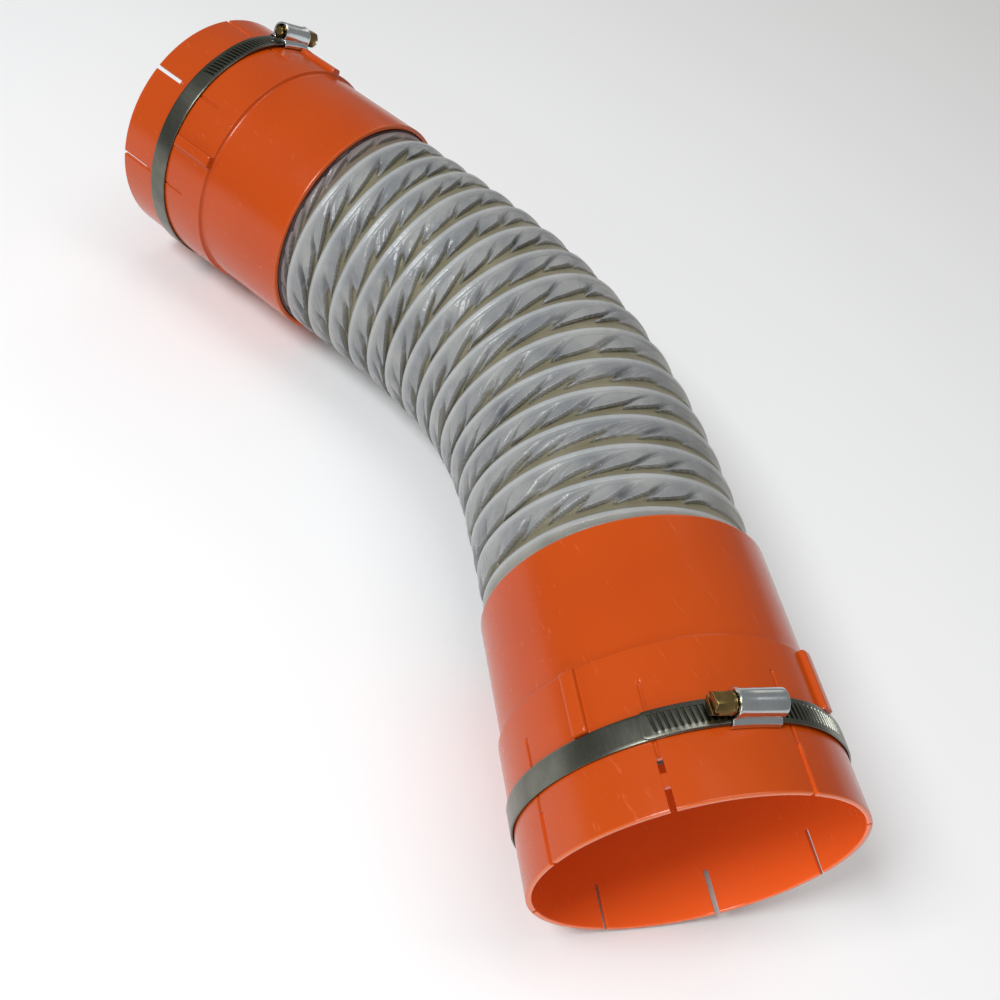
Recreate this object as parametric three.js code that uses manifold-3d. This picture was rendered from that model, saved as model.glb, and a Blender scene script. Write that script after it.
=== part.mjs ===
// Flexible pipe connector for 110 mm drain and duct pipe.
// Two slotted plastic sleeves, a fabric hose on a spring-steel helix between them,
// and a worm-drive clamp round the slotted end of each sleeve.
// Millimetres, +Z up. The bend lies in the horizontal plane and bulges toward +Y.
// The near sleeve (suffix _a) is on the +X side, the far sleeve (suffix _b) on the -X side.
import * as THREE from 'three';
import { mergeVertices } from 'three/addons/utils/BufferGeometryUtils.js';
import Module from 'manifold-3d';

const wasm = await Module();
wasm.setup();

// ---------------------------------------------------------------- driving dimensions
const DEG = Math.PI / 180;

// layout of the whole connector
const CHORD = 238.0;            // straight distance between the two sleeve mouths
const HALF_BEND = 20.77;        // degrees, half of the total bend
const BEND_FOCUS = 0.95;        // 0 = circular arc, 1 = bend gathered in the middle
const AXIS_HEIGHT = 58.27;      // height of the tube axis over the surface it lies on
const ORIGIN_Y = -3.095;        // chord line to the middle of the bounding box

// sleeve
const SLEEVE_LENGTH = 103.2;
const SOCKET_OUTER_R = 57.25;
const SOCKET_INNER_R = 55.25;
const NECK_OUTER_R = 55.7;
const NECK_INNER_R = 53.65;
const STEP_AT = 53.0;           // distance from the rim to the shoulder (pipe stop)
const SLOT_COUNT = 8;
const SLOT_WIDTH = 1.9;
const SLOT_LENGTH = 16.0;
const SCORE_END = 41.0;         // shallow score line goes on to here
const SCORE_DEPTH = 0.5;
const SCORE_WIDTH = 1.2;
const SLOT_PHASE_A = 16.0;
const SLOT_PHASE_B = -39.0;
const BRIDGE_FROM = 7.1;        // one slot of the near sleeve keeps a bridge of plastic
const BRIDGE_TO = 11.2;
const BRIDGE_SLOT = 7;
const RIB_WIDTH = 5.0;
const RIB_HEIGHT = 2.2;
const RIB_FROM = 31.2;
const RIB_PHASE_A = -50.5;
const RIB_PHASE_B = -61.5;
const SLEEVE_SEGMENTS = 44;

// hose
const CREST_R = 53.3;           // outside of the fabric over the wire
const WALL = 0.8;
const WIRE_R = 0.85;
const WIRE_CENTRE_R = 51.55;
const SKIRT_END = 21.0;         // length of fabric that tucks under the next turn
const SKIRT_END_R = 46.6;
const TURN_STEPS = 16;
const TURN_GAP = 5.6;           // degrees left open at the bottom between turns
// middle of each wire turn along the hose's centre line, from the near mouth
const TURN_AT = [4.2, 19.5, 34.2, 49.2, 64.2, 80.2, 97.8, 114.6,
  131.6, 147.8, 164.2, 179.6, 194.2, 208.2, 222.2, 236.6];
const FIRST_HINGE = -2.6;
const LAST_HINGE = 244.4;

// clamps
const BAND_WIDTH = 9.0;
const BAND_THICK = 0.65;
const BAND_INNER_R = 57.65;
const BAND_TAIL_R = 58.60;      // inner radius of the overlapping layer
const BAND_AT_A = 26.0;         // band middle, distance from the rim
const BAND_AT_B = 25.0;
const THREAD_PITCH = 2.0;
const THREAD_WIDTH = 1.0;
const THREAD_LENGTH = 5.5;
const THREAD_DEPTH = 0.35;     // the threads are pressed in, not cut through
const THREAD_SLANT = 10 * DEG;
const SCREW_R = 62.65;          // radius at which the screw axis lies
const WORM_R = 3.05;
const WORM_ROOT_R = 2.3;
const WORM_LENGTH = 12.4;
const HEX_AF = 7.0;
const HEX_LENGTH = 5.9;
const COLLAR_R = 3.75;
const BARREL_R = 4.45;
const BARREL_BORE_R = 3.45;
const HOUSING_LENGTH = 16.8;
const HOUSING_WIDTH = 11.4;
const HOUSING_AT_A = 2.25;      // degrees round the sleeve, 0 at the top
const HOUSING_AT_B = 23.0;

// ---------------------------------------------------------------- materials
const orange = () => new THREE.MeshStandardMaterial({ color: 0xc84e19, roughness: 0.35, metalness: 0 });
const fabric = () => new THREE.MeshStandardMaterial({ color: 0x8e8c8c, roughness: 0.6, metalness: 0 });
const spring = () => new THREE.MeshStandardMaterial({ color: 0x6d6a66, roughness: 0.4, metalness: 1 });
const adhesive = () => new THREE.MeshStandardMaterial({ color: 0x3a2227, roughness: 0.6, metalness: 0 });
const steel = () => new THREE.MeshStandardMaterial({ color: 0x9a9c92, roughness: 0.3, metalness: 1 });
const zinc = () => new THREE.MeshStandardMaterial({ color: 0xb9bbba, roughness: 0.3, metalness: 1 });
const brass = () => new THREE.MeshStandardMaterial({ color: 0xa98f4e, roughness: 0.35, metalness: 1 });

// ---------------------------------------------------------------- mesh helpers
function bare(geometry) {
  const g = geometry.clone();
  g.deleteAttribute('normal');
  g.deleteAttribute('uv');
  return mergeVertices(g, 1e-4);
}
function toManifold(geometry) {
  const g = bare(geometry);
  return new wasm.Manifold(new wasm.Mesh({
    numProp: 3,
    vertProperties: Float32Array.from(g.attributes.position.array),
    triVerts: Uint32Array.from(g.index.array),
  }));
}
function fromManifold(solid) {
  const mesh = solid.getMesh();
  const points = new Float32Array(mesh.numVert * 3);
  for (let i = 0; i < mesh.numVert; i++) {
    for (let k = 0; k < 3; k++) points[3 * i + k] = mesh.vertProperties[i * mesh.numProp + k];
  }
  const g = new THREE.BufferGeometry();
  g.setAttribute('position', new THREE.BufferAttribute(points, 3));
  g.setIndex(Array.from(mesh.triVerts));
  return g;
}
// points and triangles to a geometry whose faces point out
function solidOf(points, triangles) {
  let volume = 0;
  for (const [a, b, c] of triangles) {
    const p = points[a], q = points[b], r = points[c];
    volume += p[0] * (q[1] * r[2] - q[2] * r[1]) - p[1] * (q[0] * r[2] - q[2] * r[0])
      + p[2] * (q[0] * r[1] - q[1] * r[0]);
  }
  const g = new THREE.BufferGeometry();
  g.setAttribute('position', new THREE.BufferAttribute(Float32Array.from(points.flat()), 3));
  g.setIndex((volume < 0 ? triangles.map(([a, b, c]) => [a, c, b]) : triangles).flat());
  return g;
}
// closed profile of [distance along the axis, radius] turned round the local Z axis
function turned(profile, segments) {
  const area = profile.reduce((sum, [z, r], i) => {
    const [z2, r2] = profile[(i + 1) % profile.length];
    return sum + (r * z2 - r2 * z);
  }, 0);
  const ring = area < 0 ? [...profile].reverse() : profile;
  const points = ring.map(([z, r]) => new THREE.Vector2(r, z));
  points.push(points[0].clone());
  const g = new THREE.LatheGeometry(points, segments);
  g.rotateX(Math.PI / 2);     // lathe axis Y becomes Z
  return g;
}
// box that stands on the sleeve at an angle: width across, from one radius to another
function radialBox(angle, width, r0, r1, z0, z1) {
  const g = new THREE.BoxGeometry(r1 - r0, width, z1 - z0);
  g.translate((r0 + r1) / 2, 0, (z0 + z1) / 2);
  g.rotateZ(angle * DEG);
  return g;
}

// ---------------------------------------------------------------- placement
// heading of the centre line, and its points, from the near mouth to the far mouth
const TOTAL = 2 * HALF_BEND * DEG;
const heading = (t) => HALF_BEND * DEG
  - TOTAL * (t - BEND_FOCUS * Math.sin(2 * Math.PI * t) / (2 * Math.PI));
const STEPS = 4000;
let chordOfUnit = 0;
for (let i = 0; i < STEPS; i++) chordOfUnit += Math.cos(heading((i + 0.5) / STEPS)) / STEPS;
const HOSE_LENGTH = CHORD / chordOfUnit;
function centreLine(s) {
  // position relative to the middle of the chord, and heading
  if (s <= 0) {
    const a = heading(0);
    return { x: CHORD / 2 - s * Math.cos(a), y: s * Math.sin(a), a };
  }
  const end = Math.min(s, HOSE_LENGTH);
  const n = 1500;
  let x = CHORD / 2, y = 0;
  for (let i = 0; i < n; i++) {
    const a = heading((i + 0.5) / n * end / HOSE_LENGTH);
    x -= Math.cos(a) * end / n;
    y += Math.sin(a) * end / n;
  }
  const a = heading(end / HOSE_LENGTH);
  const over = s - end;
  return { x: x - over * Math.cos(a), y: y + over * Math.sin(a), a };
}
// a group whose local Z runs along the hose from near to far, local X up, local Y toward the bulge
function station(s) {
  const { x, y, a } = centreLine(s);
  const g = new THREE.Group();
  const along = new THREE.Vector3(-Math.cos(a), Math.sin(a), 0);
  const out = new THREE.Vector3(Math.sin(a), Math.cos(a), 0);
  const up = new THREE.Vector3(0, 0, 1);
  g.setRotationFromMatrix(new THREE.Matrix4().makeBasis(up, out, along));
  g.position.set(x, y - ORIGIN_Y, AXIS_HEIGHT);
  return g;
}

const connector = new THREE.Group();
connector.name = 'flexible_pipe_connector';
function put(group, name, geometry, material) {
  const mesh = new THREE.Mesh(geometry, material);
  mesh.name = name;
  group.add(mesh);
  return mesh;
}

// ---------------------------------------------------------------- sleeves
// side = -1: rim on the near side of the mouth; side = +1: rim on the far side.
// The local origin is the middle of the mouth.
function sleeve(side, slotPhase, ribPhase, bridged) {
  const at = (fromRim) => side * (SLEEVE_LENGTH - fromRim);
  const span = (a, b) => [Math.min(at(a), at(b)), Math.max(at(a), at(b))];
  let body = toManifold(turned([
    [at(0), SOCKET_INNER_R + 0.5], [at(0), SOCKET_OUTER_R - 0.3], [at(0.3), SOCKET_OUTER_R],
    [at(STEP_AT), SOCKET_OUTER_R], [at(STEP_AT + 0.6), NECK_OUTER_R],
    [at(SLEEVE_LENGTH - 0.3), NECK_OUTER_R], [at(SLEEVE_LENGTH), NECK_OUTER_R - 0.3],
    [at(SLEEVE_LENGTH), NECK_INNER_R], [at(STEP_AT), NECK_INNER_R],
    [at(STEP_AT), SOCKET_INNER_R], [at(0.6), SOCKET_INNER_R],
  ], SLEEVE_SEGMENTS));
  for (let k = 0; k < 4; k++) {
    const [z0, z1] = span(RIB_FROM, STEP_AT - 0.2);
    body = body.add(toManifold(radialBox(ribPhase + 90 * k, RIB_WIDTH,
      SOCKET_OUTER_R - 1.2, SOCKET_OUTER_R + RIB_HEIGHT, z0, z1)));
  }
  for (let k = 0; k < SLOT_COUNT; k++) {
    const angle = slotPhase + 45 * k;
    const cuts = bridged && k === BRIDGE_SLOT
      ? [[-1, BRIDGE_FROM], [BRIDGE_TO, SLOT_LENGTH]] : [[-1, SLOT_LENGTH]];
    for (const [a, b] of cuts) {
      const [z0, z1] = span(a, b);
      body = body.subtract(toManifold(radialBox(angle, SLOT_WIDTH,
        SOCKET_INNER_R - 2, SOCKET_OUTER_R + 2, z0, z1)));
    }
    const [z0, z1] = span(SLOT_LENGTH + 0.8, SCORE_END);
    body = body.subtract(toManifold(radialBox(angle, SCORE_WIDTH,
      SOCKET_OUTER_R - SCORE_DEPTH, SOCKET_OUTER_R + 1, z0, z1)));
  }
  return fromManifold(body);
}
const nearEnd = station(0);
const farEnd = station(HOSE_LENGTH);
connector.add(nearEnd, farEnd);
put(nearEnd, 'sleeve_a', sleeve(-1, SLOT_PHASE_A, RIB_PHASE_A, true), orange());
put(farEnd, 'sleeve_b', sleeve(1, SLOT_PHASE_B, RIB_PHASE_B, false), orange());

// hose ends glued into the sleeve necks, and the bead of adhesive round them
put(nearEnd, 'hose_cuff_a', turned([
  [-45, 51.6], [-14, 51.6], [-8, 49.2], [0, 48.5], [12, 45.5],
  [12, 44.7], [0, 47.7], [-8, 48.4], [-14, 50.0], [-45, 50.0],
], 28), fabric());
put(nearEnd, 'adhesive_ring_a', turned([[-43, 52.0], [-43, 53.2], [-14.5, 53.2], [-14.5, 52.0]], 28), adhesive());
put(farEnd, 'hose_cuff_b', turned([[7, 50.0], [7, 51.6], [45, 51.6], [45, 50.0]], 28), fabric());
put(farEnd, 'adhesive_ring_b', turned([[2, 52.0], [2, 53.2], [43, 53.2], [43, 52.0]], 28), adhesive());

// ---------------------------------------------------------------- hose turns
const hinges = [FIRST_HINGE];
for (let i = 0; i + 1 < TURN_AT.length; i++) hinges.push((TURN_AT[i] + TURN_AT[i + 1]) / 2);
hinges.push(LAST_HINGE);
// distance of the wire from its turn's middle, at an angle round the hose:
// the helix runs toward the near end as the angle grows
function rise(i, angle) {
  return angle < 0
    ? (hinges[i + 1] - TURN_AT[i]) * -angle / 180
    : (hinges[i] - TURN_AT[i]) * angle / 180;
}
function swept(i, profile, from, to, steps) {
  const points = [];
  const triangles = [];
  const n = profile.length;
  for (let k = 0; k <= steps; k++) {
    const angle = from + (to - from) * k / steps;
    const c = Math.cos(angle * DEG), s = Math.sin(angle * DEG), z = rise(i, angle);
    for (const [u, r] of profile) points.push([r * c, r * s, z + u]);
  }
  for (let k = 0; k < steps; k++) {
    for (let j = 0; j < n; j++) {
      const a = k * n + j, b = k * n + (j + 1) % n, c = a + n, d = b + n;
      triangles.push([a, b, d], [a, d, c]);
    }
  }
  const flat = profile.map(([u, r]) => new THREE.Vector2(u, r));
  const clockwise = THREE.ShapeUtils.isClockWise(flat);
  const last = steps * n;
  for (const [a, b, c] of THREE.ShapeUtils.triangulateShape(flat, [])) {
    const same = THREE.ShapeUtils.isClockWise([flat[a], flat[b], flat[c]]) === clockwise;
    const [p, q, r] = same ? [a, b, c] : [a, c, b];
    triangles.push([p, r, q], [last + p, last + q, last + r]);
  }
  return solidOf(points, triangles);
}
const skirtSlope = (51.2 - SKIRT_END_R) / (SKIRT_END - 2.6);
const wallProfile = [
  [-2.5, 51.0], [-1.2, CREST_R], [1.2, CREST_R], [2.6, 51.2],
  [SKIRT_END, SKIRT_END_R], [SKIRT_END, SKIRT_END_R - WALL], [1.75, 51.2 - WALL + 0.2 * skirtSlope],
  [1.2, 52.5], [-1.2, 52.5],
];
const wireProfile = [0, 1, 2, 3].map((k) => {
  const a = (45 + 90 * k) * DEG;
  return [WIRE_R * Math.cos(a), WIRE_CENTRE_R - 0.1 + WIRE_R * Math.sin(a)];
});
TURN_AT.forEach((s, i) => {
  const turn = station(s);
  connector.add(turn);
  const number = String(i + 1).padStart(2, '0');
  const reach = 180 - TURN_GAP / 2;
  put(turn, `hose_wall_${number}`, swept(i, wallProfile, -reach, reach, TURN_STEPS), fabric());
  put(turn, `wire_turn_${number}`, swept(i, wireProfile, -reach, reach, TURN_STEPS), spring());
});

// ---------------------------------------------------------------- clamps
// The band starts under the housing, goes once round the sleeve and comes back
// over its own start, where its slots meet the screw. dir is the way it sets off.
function band(at, housingAt, dir, tailPast, threadBack) {
  const start = housingAt - dir * 6;              // fixed end, under the housing
  const turnLength = 366 + tailPast;              // degrees of band in all
  const perDegree = DEG * (BAND_TAIL_R + BAND_THICK / 2);
  // outer layer lies from 336 degrees on
  const inner = (t) => {
    const k = Math.min(1, Math.max(0, (t - 322) / 24));
    return BAND_INNER_R + (BAND_TAIL_R - BAND_INNER_R) * k * k * (3 - 2 * k);
  };
  const columns = [];
  const pushPlain = (a, b, step) => {
    const n = Math.max(1, Math.round((b - a) / step));
    for (let i = 0; i < n; i++) columns.push({ t: a + (b - a) * i / n, slot: false });
  };
  const threadEnd = turnLength - 3.2;
  const pitch = THREAD_PITCH / perDegree;
  const count = Math.floor(threadBack / pitch);
  const threadStart = threadEnd - count * pitch;
  pushPlain(0, threadStart, 9);
  for (let i = 0; i < count; i++) {
    const t = threadStart + i * pitch;
    columns.push({ t: t + 0.5 * pitch * (1 - THREAD_WIDTH / THREAD_PITCH), slot: true });
    columns.push({ t: t + 0.5 * pitch * (1 + THREAD_WIDTH / THREAD_PITCH), slot: false });
  }
  columns.push({ t: threadEnd + 0.4, slot: false });
  columns.push({ t: turnLength - 0.9, slot: false, z: 0.93 });
  columns.push({ t: turnLength, slot: null, z: 0.62 });
  const rows = [-BAND_WIDTH / 2, -THREAD_LENGTH / 2, THREAD_LENGTH / 2, BAND_WIDTH / 2];
  const points = [];
  const index = (i, j, layer) => (i * rows.length + j) * 3 + layer;
  columns.forEach(({ t, z }, i) => {
    const inThread = Math.min(1, Math.max(0, (t - threadStart + 4) / 4))
      * Math.min(1, Math.max(0, (turnLength - 0.9 - t) / 2));
    rows.forEach((row) => {
      const across = row * (z ?? 1);
      const tt = t + inThread * Math.tan(THREAD_SLANT) * across / perDegree;
      const angle = (start + dir * tt) * DEG;
      for (const r of [inner(tt), inner(tt) + BAND_THICK, inner(tt) + BAND_THICK - THREAD_DEPTH]) {
        points.push([r * Math.cos(angle), r * Math.sin(angle), at + across]);
      }
    });
  });
  const inside = (i, j) => i >= 0 && i < columns.length - 1 && j >= 0 && j < 3;
  const pressed = (i, j) => inside(i, j) && columns[i].slot === true && j === 1;
  const triangles = [];
  const quad = (a, b, c, d) => triangles.push([a, b, c], [a, c, d]);
  for (let i = 0; i < columns.length - 1; i++) {
    for (let j = 0; j < 3; j++) {
      const v = (di, dj, layer) => index(i + di, j + dj, layer);
      const top = pressed(i, j) ? 2 : 1;
      quad(v(0, 0, top), v(1, 0, top), v(1, 1, top), v(0, 1, top));
      quad(v(0, 0, 0), v(0, 1, 0), v(1, 1, 0), v(1, 0, 0));
      if (!inside(i, j - 1)) quad(v(0, 0, 0), v(1, 0, 0), v(1, 0, 1), v(0, 0, 1));
      if (!inside(i, j + 1)) quad(v(0, 1, 1), v(1, 1, 1), v(1, 1, 0), v(0, 1, 0));
      if (!inside(i - 1, j)) quad(v(0, 0, 0), v(0, 0, 1), v(0, 1, 1), v(0, 1, 0));
      if (!inside(i + 1, j)) quad(v(1, 0, 1), v(1, 0, 0), v(1, 1, 0), v(1, 1, 1));
      if (pressed(i, j)) {
        quad(v(0, 0, 1), v(1, 0, 1), v(1, 0, 2), v(0, 0, 2));
        quad(v(0, 1, 2), v(1, 1, 2), v(1, 1, 1), v(0, 1, 1));
        quad(v(0, 0, 2), v(0, 1, 2), v(0, 1, 1), v(0, 0, 1));
        quad(v(1, 0, 1), v(1, 1, 1), v(1, 1, 2), v(1, 0, 2));
      }
    }
  }
  return solidOf(points, triangles);
}

// local frame of a clamp's screw: local Z along the screw toward its head, local X away from the sleeve
function screwStation(parent, at, angle, headSide) {
  const g = new THREE.Group();
  const a = angle * DEG;
  const away = new THREE.Vector3(Math.cos(a), Math.sin(a), 0);
  const along = new THREE.Vector3(-Math.sin(a), Math.cos(a), 0).multiplyScalar(headSide);
  const across = new THREE.Vector3().crossVectors(along, away);
  g.setRotationFromMatrix(new THREE.Matrix4().makeBasis(away, across, along));
  g.position.copy(away).multiplyScalar(SCREW_R);
  g.position.z = at;
  parent.add(g);
  return g;
}
function housing() {
  // cross section: legs either side of the band, barrel over the screw
  const base = 57.6 - SCREW_R;
  const half = HOUSING_WIDTH / 2;
  const legInner = BAND_WIDTH / 2 + 0.35;
  const bandTop = BAND_TAIL_R + BAND_THICK + 0.3 - SCREW_R;
  const section = new THREE.Shape();
  section.moveTo(base, -half);
  section.lineTo(base + 2.2, -half);
  const arc = 10;
  for (let i = 0; i <= arc; i++) {
    const a = (-112 + 224 * i / arc) * DEG;
    section.lineTo(BARREL_R * Math.cos(a), BARREL_R * Math.sin(a));
  }
  section.lineTo(base + 2.2, half);
  section.lineTo(base, half);
  section.lineTo(base, legInner);
  section.lineTo(bandTop, legInner);
  const bore = 8;
  const a0 = Math.acos(bandTop / BARREL_BORE_R) / DEG;
  for (let i = 0; i <= bore; i++) {
    const a = (a0 - 2 * a0 * i / bore) * DEG;
    section.lineTo(BARREL_BORE_R * Math.cos(a), BARREL_BORE_R * Math.sin(a));
  }
  section.lineTo(bandTop, -legInner);
  section.lineTo(base, -legInner);
  const shell = new THREE.ExtrudeGeometry(section, { depth: HOUSING_LENGTH, bevelEnabled: false });
  shell.translate(0, 0, -HOUSING_LENGTH / 2);
  let body = toManifold(shell);
  // rolled-in lips that hold the screw lengthwise
  const lip = (z0, z1) => {
    const ring = toManifold(turned([[z0, 2.75], [z0, BARREL_BORE_R + 0.4], [z1, BARREL_BORE_R + 0.4], [z1, 2.75]], 12));
    const keep = new THREE.BoxGeometry(9, 9, z1 - z0 + 0.4);
    keep.translate(bandTop + 4.5, 0, (z0 + z1) / 2);
    return ring.intersect(toManifold(keep));
  };
  body = body.add(lip(HOUSING_LENGTH / 2 - 0.9, HOUSING_LENGTH / 2));
  body = body.add(lip(-HOUSING_LENGTH / 2, -HOUSING_LENGTH / 2 + 0.9));
  // the feet follow the round of the sleeve
  const clear = new THREE.CylinderGeometry(57.6, 57.6, 30, 60);
  clear.rotateX(Math.PI / 2);
  clear.rotateX(Math.PI / 2);
  clear.translate(-SCREW_R, 0, 0);
  body = body.subtract(toManifold(clear));
  return fromManifold(body);
}
function screw() {
  // worm: one helical ridge on a round root
  const around = 8;
  const along = 12;
  const points = [];
  const triangles = [];
  const z0 = -WORM_LENGTH / 2;
  for (let k = 0; k <= along; k++) {
    for (let j = 0; j < around; j++) {
      const turn = j / around;
      const z = z0 + WORM_LENGTH * k / along;
      const wave = 0.5 - 0.5 * Math.cos(2 * Math.PI * ((z - z0) / (THREAD_PITCH * 1.24) - turn));
      const r = k === 0 || k === along ? WORM_ROOT_R : WORM_ROOT_R + (WORM_R - WORM_ROOT_R) * wave;
      points.push([r * Math.cos(2 * Math.PI * turn), r * Math.sin(2 * Math.PI * turn), z]);
    }
  }
  for (let k = 0; k < along; k++) {
    for (let j = 0; j < around; j++) {
      const a = k * around + j, b = k * around + (j + 1) % around;
      triangles.push([a, b, b + around], [a, b + around, a + around]);
    }
  }
  const first = points.length;
  points.push([0, 0, z0], [0, 0, -z0]);
  for (let j = 0; j < around; j++) {
    triangles.push([first, (j + 1) % around, j]);
    triangles.push([first + 1, along * around + j, along * around + (j + 1) % around]);
  }
  let body = toManifold(solidOf(points, triangles));
  const rod = (r, a, b, sides) => {
    const g = new THREE.CylinderGeometry(r, r, b - a, sides);
    g.rotateX(Math.PI / 2);
    g.translate(0, 0, (a + b) / 2);
    return toManifold(g);
  };
  const collar = HOUSING_LENGTH / 2 + 0.3;
  const head = collar + 1.3;
  body = body.add(rod(WORM_ROOT_R, -HOUSING_LENGTH / 2 - 0.6, collar + 0.5, 10));
  body = body.add(rod(COLLAR_R, collar, head, 16));
  const hex = new THREE.CylinderGeometry(HEX_AF / Math.sqrt(3), HEX_AF / Math.sqrt(3), HEX_LENGTH, 6);
  hex.rotateX(Math.PI / 2);
  hex.translate(0, 0, head + HEX_LENGTH / 2 - 0.1);
  body = body.add(toManifold(hex));
  const cut = new THREE.BoxGeometry(1.2, 9, 2.2);
  cut.translate(0, 0, head + HEX_LENGTH - 0.1 - 0.5);
  body = body.subtract(toManifold(cut));
  return fromManifold(body);
}
const clampA = -(SLEEVE_LENGTH - BAND_AT_A);
const clampB = SLEEVE_LENGTH - BAND_AT_B;
put(nearEnd, 'clamp_band_a', band(clampA, HOUSING_AT_A, -1, 34.5, 69.5), steel());
put(farEnd, 'clamp_band_b', band(clampB, HOUSING_AT_B, 1, 29, 57.5), steel());
const driveA = screwStation(nearEnd, clampA, HOUSING_AT_A, -1);
const driveB = screwStation(farEnd, clampB, HOUSING_AT_B, 1);
put(driveA, 'clamp_housing_a', housing(), zinc());
put(driveB, 'clamp_housing_b', housing(), zinc());
put(driveA, 'clamp_screw_a', screw(), brass());
put(driveB, 'clamp_screw_b', screw(), brass());

export default connector;
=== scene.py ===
# Flexible 110 mm pipe connector: the visual model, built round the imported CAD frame.
import bpy, bmesh, math
import numpy as np
from mathutils import Matrix, Vector


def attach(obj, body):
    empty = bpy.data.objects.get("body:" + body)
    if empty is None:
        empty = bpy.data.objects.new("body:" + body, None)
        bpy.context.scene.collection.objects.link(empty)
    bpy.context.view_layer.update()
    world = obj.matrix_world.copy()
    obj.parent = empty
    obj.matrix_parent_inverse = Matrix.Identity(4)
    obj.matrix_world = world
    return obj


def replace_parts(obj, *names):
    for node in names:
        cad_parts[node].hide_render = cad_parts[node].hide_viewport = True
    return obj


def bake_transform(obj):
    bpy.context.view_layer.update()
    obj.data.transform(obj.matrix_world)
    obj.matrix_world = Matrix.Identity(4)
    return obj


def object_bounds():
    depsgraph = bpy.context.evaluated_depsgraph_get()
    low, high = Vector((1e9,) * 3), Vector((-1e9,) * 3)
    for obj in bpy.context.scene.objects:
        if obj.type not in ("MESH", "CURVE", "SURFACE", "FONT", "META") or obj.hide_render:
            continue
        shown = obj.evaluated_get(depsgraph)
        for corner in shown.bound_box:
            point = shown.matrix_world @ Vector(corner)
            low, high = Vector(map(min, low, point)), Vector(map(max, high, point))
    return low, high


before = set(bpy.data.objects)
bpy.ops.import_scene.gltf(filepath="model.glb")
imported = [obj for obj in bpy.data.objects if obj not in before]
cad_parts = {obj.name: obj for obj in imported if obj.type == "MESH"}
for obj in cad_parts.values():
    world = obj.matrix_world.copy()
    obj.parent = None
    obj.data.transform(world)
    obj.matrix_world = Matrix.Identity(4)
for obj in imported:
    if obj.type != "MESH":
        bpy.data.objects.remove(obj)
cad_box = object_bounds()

D2R = math.pi / 180
MM = 0.001
scene = bpy.context.scene

# ------------------------------------------------------------------ camera
cam_data = bpy.data.cameras.new("camera")
cam = bpy.data.objects.new("camera", cam_data)
scene.collection.objects.link(cam)
scene.camera = cam
cam_data.sensor_width = 36.0
cam_data.lens = 36.0 * 1049.3 / 1000.0
cam_data.shift_x = 0.00145
cam_data.shift_y = -0.00437
cam_data.clip_start = 0.01
cam_data.clip_end = 50.0
ORIGIN_Y, AXIS_Z = -3.095, 58.27
right = Vector((0.493613, 0.840963, 0.22165)).normalized()
back = Vector((0.47963, -0.475838, 0.737247)).normalized()
up = back.cross(right).normalized()
rot = Matrix((right, up, back)).transposed()
cam.matrix_world = Matrix.Translation(Vector((258.904, -222.288 - ORIGIN_Y, 314.386 + AXIS_Z)) * MM) @ rot.to_4x4()

# ------------------------------------------------------------------ layout, as in the CAD
CHORD, HALF_BEND, FOCUS = 238.0, 20.77 * D2R, 0.95
SLEEVE_LENGTH = 103.2
TURN_AT = [4.2, 19.5, 34.2, 49.2, 64.2, 80.2, 97.8, 114.6,
           131.6, 147.8, 164.2, 179.6, 194.2, 208.2, 222.2, 236.6]
N = 4000


def heading(t):
    return HALF_BEND - 2 * HALF_BEND * (t - FOCUS * np.sin(2 * np.pi * t) / (2 * np.pi))


_tm = (np.arange(N) + 0.5) / N
HOSE = CHORD / np.mean(np.cos(heading(_tm)))
_h = HOSE / N
_sx = np.concatenate([[0], np.cumsum(np.cos(heading(_tm))) * _h])
_sy = np.concatenate([[0], np.cumsum(np.sin(heading(_tm))) * _h])
_ss = np.linspace(0, HOSE, N + 1)


def centre(s):
    s = np.asarray(s, float)
    c = np.clip(s, 0, HOSE)
    a = heading(c / HOSE)
    over = s - c
    x = CHORD / 2 - np.interp(c, _ss, _sx) - over * np.cos(a)
    y = np.interp(c, _ss, _sy) + over * np.sin(a)
    return x, y - ORIGIN_Y, a


def on_tube(s, phi, r):
    """Row-frame points in metres: s along the hose from the near mouth, phi from the top toward the bulge, r out."""
    x, y, a = centre(s)
    side = r * np.sin(phi)
    return np.stack([x + side * np.sin(a), y + side * np.cos(a), AXIS_Z + r * np.cos(phi) + 0 * x], -1) * MM


def smooth(x, a, b):
    t = np.clip((x - a) / (b - a), 0, 1)
    return t * t * (3 - 2 * t)


# seeded smooth noise on a lattice
def lattice(seed, *shape):
    return np.random.RandomState(seed).rand(*shape) * 2 - 1


def noise1(x, seed, n=4096):
    g = lattice(seed, n)
    i = np.floor(x).astype(int)
    f = x - i
    f = f * f * (3 - 2 * f)
    return g[i % n] * (1 - f) + g[(i + 1) % n] * f


def noise2(x, y, seed, n=512):
    g = lattice(seed, n, n)
    i, j = np.floor(x).astype(int), np.floor(y).astype(int)
    f, h = x - i, y - j
    f, h = f * f * (3 - 2 * f), h * h * (3 - 2 * h)
    a, b = g[i % n, j % n], g[(i + 1) % n, j % n]
    c, d = g[i % n, (j + 1) % n], g[(i + 1) % n, (j + 1) % n]
    return (a * (1 - f) + b * f) * (1 - h) + (c * (1 - f) + d * f) * h


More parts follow.
